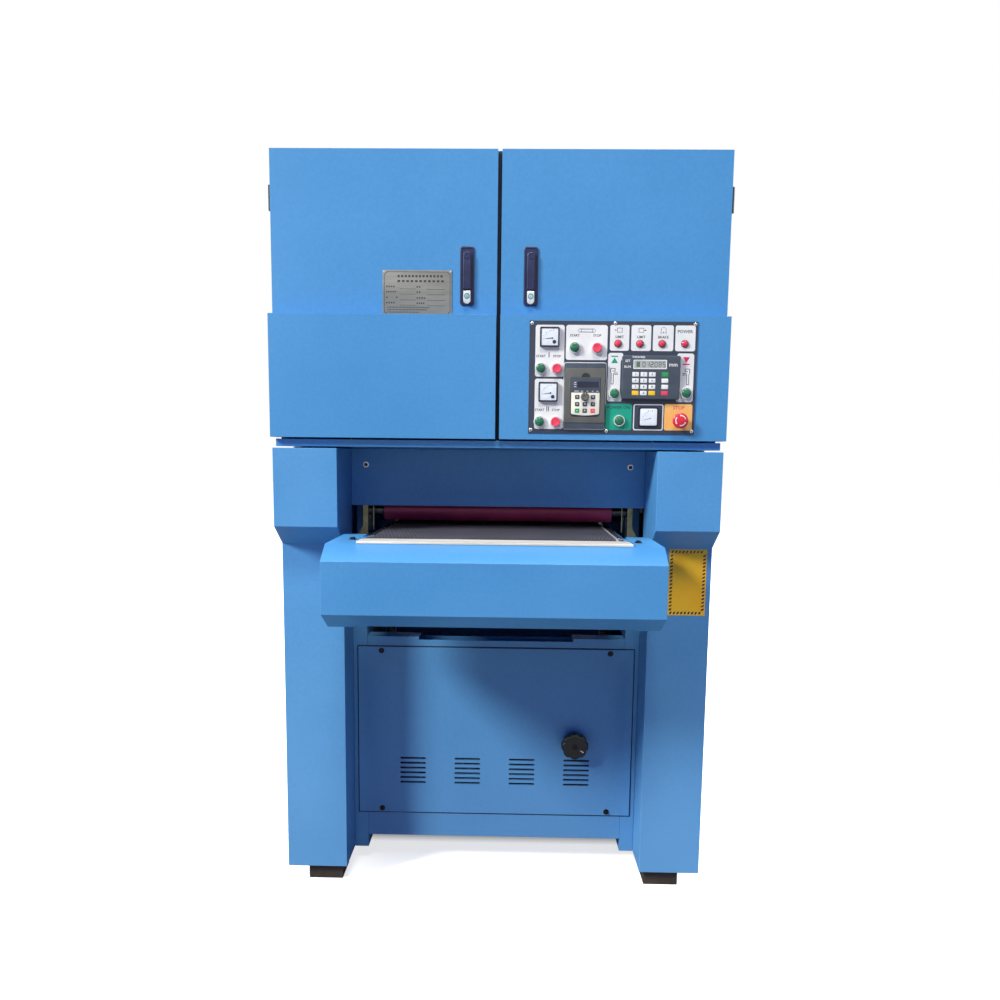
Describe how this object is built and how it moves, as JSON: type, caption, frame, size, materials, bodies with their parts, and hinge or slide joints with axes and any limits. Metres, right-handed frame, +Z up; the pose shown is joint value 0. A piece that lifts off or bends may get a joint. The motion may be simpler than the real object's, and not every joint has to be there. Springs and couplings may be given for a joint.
{
  "type": "panel sanding machine",
  "caption": "Floor-standing wide-belt panel sander with a rising conveyor table, a double-door cabinet and a control plate on the right door.",
  "frame": {"origin": "on the floor, at the centre of the machine's width and of its length over the table covers", "axes": "+Z up, +Y along the feed from the door side to the rear, +X to the right as seen from the doors"},
  "size_m": [1.176, 1.57, 1.94],
  "materials": {
    "blue_coat": "light blue powder coat, satin, fine orange peel",
    "foot_steel": "dark grey-brown paint, matt",
    "motor_paint": "grey machine enamel, satin",
    "gear_steel": "grey painted casting",
    "feed_belt_rubber": "dark grey conveyor rubber with a rough woven face",
    "abrasive_cloth": "brown abrasive on cloth",
    "roller_steel": "turned steel",
    "contact_rubber": "ground black rubber on steel",
    "press_rubber": "dark red rubber",
    "yellow_zinc": "yellow passivated zinc on steel",
    "white_plastic": "light grey moulded plastic",
    "black_oxide": "blackened steel",
    "stainless": "brushed stainless steel",
    "latch_coat": "very dark blue powder coat",
    "latch_metal": "satin zinc plate",
    "etched_plate": "grey etched plate",
    "black_plate": "black printed panel film",
    "bright_chrome": "chrome plated rings and screws",
    "meter_body": "black frame round a white dial",
    "lamp_red": "red lamp lens",
    "device_grey": "dark grey moulded plastic",
    "button_green": "green moulded button",
    "button_red": "red moulded button",
    "knob_black": "black moulded plastic"
  },
  "bodies": {
    "machine": {"base_frame": "blue_coat", "feet": "foot_steel", "left_column_cover": "blue_coat", "right_column_cover": "blue_coat", "side_panels": "blue_coat", "lower_front_panel": "blue_coat", "rear_covers": "blue_coat", "front_guard": "blue_coat", "cabinet_shell": "blue_coat", "door_hinges": "latch_metal", "head_frame": "gear_steel", "roller_brackets": "yellow_zinc", "head_motors": "motor_paint", "abrasive_belts": "abrasive_cloth", "lift_drive": "gear_steel", "electrical_gear": "white_plastic", "frame_screws": "black_oxide", "dust_outlets": "blue_coat"},
    "left_door": {"left_door": "blue_coat", "left_latch_housing": "latch_coat", "name_plate": "etched_plate"},
    "left_latch": {"left_latch_lever": "latch_coat"},
    "left_latch_key": {"left_latch_button": "latch_metal"},
    "right_door": {"right_door": "blue_coat", "right_latch_housing": "latch_coat", "control_plate": "black_plate", "panel_metalware": "bright_chrome", "panel_meters": "meter_body", "indicator_lamps": "lamp_red", "inverter_keypad": "device_grey", "thickness_readout": "device_grey"},
    "right_latch": {"right_latch_lever": "latch_coat"},
    "right_latch_key": {"right_latch_button": "latch_metal"},
    "speed_knob": {"inverter_knob": "knob_black"},
    "panel_knob": {"hand_knob": "knob_black"},
    "table": {"table_frame": "blue_coat", "conveyor_belt": "feed_belt_rubber", "table_covers": "blue_coat", "table_trim": "stainless", "feed_gearmotor": "motor_paint"},
    "front_feed_roller": {"front_feed_roller": "roller_steel"},
    "rear_feed_roller": {"rear_feed_roller": "roller_steel"},
    "front_press_roller": {"front_press_roller": "press_rubber"},
    "rear_press_roller": {"rear_press_roller": "press_rubber"},
    "contact_roller_1": {"contact_roller_1": "contact_rubber"},
    "contact_roller_2": {"contact_roller_2": "contact_rubber"},
    "tension_roller_1": {"tension_roller_1": "roller_steel"},
    "tension_roller_2": {"tension_roller_2": "roller_steel"},
    "left_lift_screw": {"left_lift_screw": "roller_steel"},
    "right_lift_screw": {"right_lift_screw": "roller_steel"},
    "head_1_start": {"head_1_start": "button_green"},
    "head_1_stop": {"head_1_stop": "button_red"},
    "head_2_start": {"head_2_start": "button_green"},
    "head_2_stop": {"head_2_stop": "button_red"},
    "feed_start": {"feed_start": "button_green"},
    "feed_stop": {"feed_stop": "button_red"},
    "table_up": {"table_up": "button_green"},
    "table_down": {"table_down": "button_green"},
    "power_button": {"power_button": "button_green"},
    "emergency_stop": {"emergency_stop": "button_red"}
  },
  "joints": [
    {"name": "left_door_hinge", "type": "hinge", "parent": "machine", "child": "left_door", "pos_m": [-0.581, -0.43, 0], "axis": [0, 0, 1], "range_deg": [-110, 0]},
    {"name": "right_door_hinge", "type": "hinge", "parent": "machine", "child": "right_door", "pos_m": [0.581, -0.43, 0], "axis": [0, 0, 1], "range_deg": [0, 110]},
    {"name": "left_latch_turn", "type": "hinge", "parent": "left_door", "child": "left_latch", "pos_m": [-0.08, -0.465, 1.679], "axis": [0, 1, 0], "range_deg": [0, 90]},
    {"name": "right_latch_turn", "type": "hinge", "parent": "right_door", "child": "right_latch", "pos_m": [0.08, -0.465, 1.679], "axis": [0, 1, 0], "range_deg": [-90, 0]},
    {"name": "left_latch_press", "type": "slide", "parent": "left_door", "child": "left_latch_key", "axis": [0, 1, 0], "range_m": [0, 0.003], "stiffness_N_per_m": 800, "springref_m": -0.001},
    {"name": "right_latch_press", "type": "slide", "parent": "right_door", "child": "right_latch_key", "axis": [0, 1, 0], "range_m": [0, 0.003], "stiffness_N_per_m": 800, "springref_m": -0.001},
    {"name": "head_1_start_press", "type": "slide", "parent": "right_door", "child": "head_1_start", "axis": [0, 1, 0], "range_m": [0, 0.004], "stiffness_N_per_m": 500, "springref_m": -0.001},
    {"name": "head_1_stop_press", "type": "slide", "parent": "right_door", "child": "head_1_stop", "axis": [0, 1, 0], "range_m": [0, 0.004], "stiffness_N_per_m": 500, "springref_m": -0.001},
    {"name": "head_2_start_press", "type": "slide", "parent": "right_door", "child": "head_2_start", "axis": [0, 1, 0], "range_m": [0, 0.004], "stiffness_N_per_m": 500, "springref_m": -0.001},
    {"name": "head_2_stop_press", "type": "slide", "parent": "right_door", "child": "head_2_stop", "axis": [0, 1, 0], "range_m": [0, 0.004], "stiffness_N_per_m": 500, "springref_m": -0.001},
    {"name": "feed_start_press", "type": "slide", "parent": "right_door", "child": "feed_start", "axis": [0, 1, 0], "range_m": [0, 0.004], "stiffness_N_per_m": 500, "springref_m": -0.001},
    {"name": "feed_stop_press", "type": "slide", "parent": "right_door", "child": "feed_stop", "axis": [0, 1, 0], "range_m": [0, 0.004], "stiffness_N_per_m": 500, "springref_m": -0.001},
    {"name": "table_up_press", "type": "slide", "parent": "right_door", "child": "table_up", "axis": [0, 1, 0], "range_m": [0, 0.004], "stiffness_N_per_m": 500, "springref_m": -0.001},
    {"name": "table_down_press", "type": "slide", "parent": "right_door", "child": "table_down", "axis": [0, 1, 0], "range_m": [0, 0.004], "stiffness_N_per_m": 500, "springref_m": -0.001},
    {"name": "power_button_press", "type": "slide", "parent": "right_door", "child": "power_button", "axis": [0, 1, 0], "range_m": [0, 0.004], "stiffness_N_per_m": 500, "springref_m": -0.001},
    {"name": "emergency_stop_press", "type": "slide", "parent": "right_door", "child": "emergency_stop", "axis": [0, 1, 0], "range_m": [0, 0.004]},
    {"name": "speed_knob_turn", "type": "hinge", "parent": "right_door", "child": "speed_knob", "pos_m": [0.21744, -0.514, 1.3322], "axis": [0, 1, 0], "range_deg": [-135, 135]},
    {"name": "panel_knob_turn", "type": "hinge", "parent": "machine", "child": "panel_knob", "pos_m": [0.228, -0.303, 0.368], "axis": [0, 1, 0], "range_deg": [-140, 140]},
    {"name": "table_lift", "type": "slide", "parent": "machine", "child": "table", "axis": [0, 0, 1], "range_m": [-0.066, 0.012]},
    {"name": "left_screw_turn", "type": "hinge", "parent": "machine", "child": "left_lift_screw", "pos_m": [-0.348, 0.083, 0.5], "axis": [0, 0, 1], "range_deg": [-4000, 800]},
    {"name": "right_screw_turn", "type": "hinge", "parent": "machine", "child": "right_lift_screw", "pos_m": [0.348, 0.083, 0.5], "axis": [0, 0, 1], "range_deg": [-4000, 800]},
    {"name": "front_feed_roller_spin", "type": "hinge", "parent": "table", "child": "front_feed_roller", "pos_m": [0, -0.612, 0.943], "axis": [1, 0, 0], "continuous": true},
    {"name": "rear_feed_roller_spin", "type": "hinge", "parent": "table", "child": "rear_feed_roller", "pos_m": [0, 0.612, 0.943], "axis": [1, 0, 0], "continuous": true},
    {"name": "front_press_roller_spin", "type": "hinge", "parent": "machine", "child": "front_press_roller", "pos_m": [0, -0.262, 1.028], "axis": [1, 0, 0], "continuous": true},
    {"name": "rear_press_roller_spin", "type": "hinge", "parent": "machine", "child": "rear_press_roller", "pos_m": [0, 0.428, 1.028], "axis": [1, 0, 0], "continuous": true},
    {"name": "contact_roller_1_spin", "type": "hinge", "parent": "machine", "child": "contact_roller_1", "pos_m": [0, -0.082, 1.0735], "axis": [1, 0, 0], "continuous": true},
    {"name": "contact_roller_2_spin", "type": "hinge", "parent": "machine", "child": "contact_roller_2", "pos_m": [0, 0.248, 1.0735], "axis": [1, 0, 0], "continuous": true},
    {"name": "tension_roller_1_spin", "type": "hinge", "parent": "machine", "child": "tension_roller_1", "pos_m": [0, -0.082, 1.6465], "axis": [1, 0, 0], "continuous": true},
    {"name": "tension_roller_2_spin", "type": "hinge", "parent": "machine", "child": "tension_roller_2", "pos_m": [0, 0.248, 1.6465], "axis": [1, 0, 0], "continuous": true}
  ],
  "couplings": [
    {"joint": "left_screw_turn", "follows": "table_lift", "rad_per_m": 1047.2},
    {"joint": "right_screw_turn", "follows": "table_lift", "rad_per_m": 1047.2},
    {"joint": "rear_feed_roller_spin", "follows": "front_feed_roller_spin", "ratio": 1},
    {"joint": "tension_roller_1_spin", "follows": "contact_roller_1_spin", "ratio": 1.3976},
    {"joint": "tension_roller_2_spin", "follows": "contact_roller_2_spin", "ratio": 1.3976}
  ]
}
